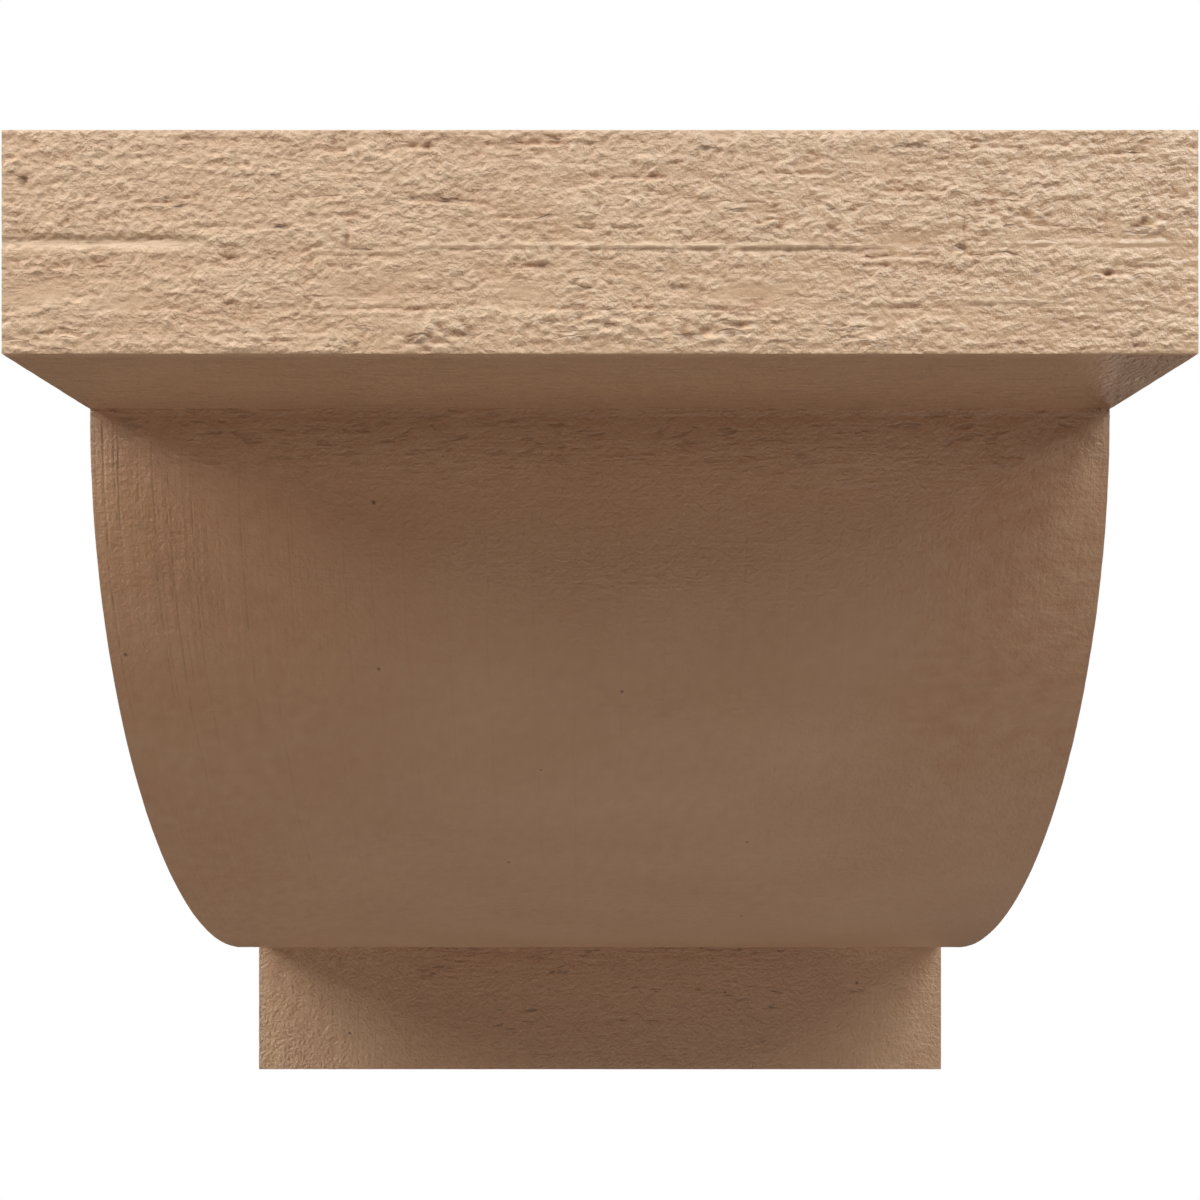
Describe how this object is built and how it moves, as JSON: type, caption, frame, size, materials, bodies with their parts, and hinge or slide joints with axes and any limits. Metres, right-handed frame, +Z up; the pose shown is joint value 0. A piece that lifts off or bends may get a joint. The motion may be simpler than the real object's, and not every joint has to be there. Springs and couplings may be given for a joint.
{
  "type": "corbel",
  "caption": "Quarter-round corbel with a square-edged cap slab and a flat backing block, moulded in one piece with a rough-sawn timber surface.",
  "frame": {"origin": "the middle of the flat wall face at the back of the corbel", "axes": "+Y points into the wall, square to the wall face, so the corbel stands out along -Y; +Z is up; X runs across the width"},
  "size_m": [0.2032, 0.2032, 0.2032],
  "materials": {
    "tan_primer": "tan primer, matt with a slight sheen, over rough-sawn grain"
  },
  "bodies": {
    "root": {"corbel": "tan_primer"}
  },
  "joints": []
}
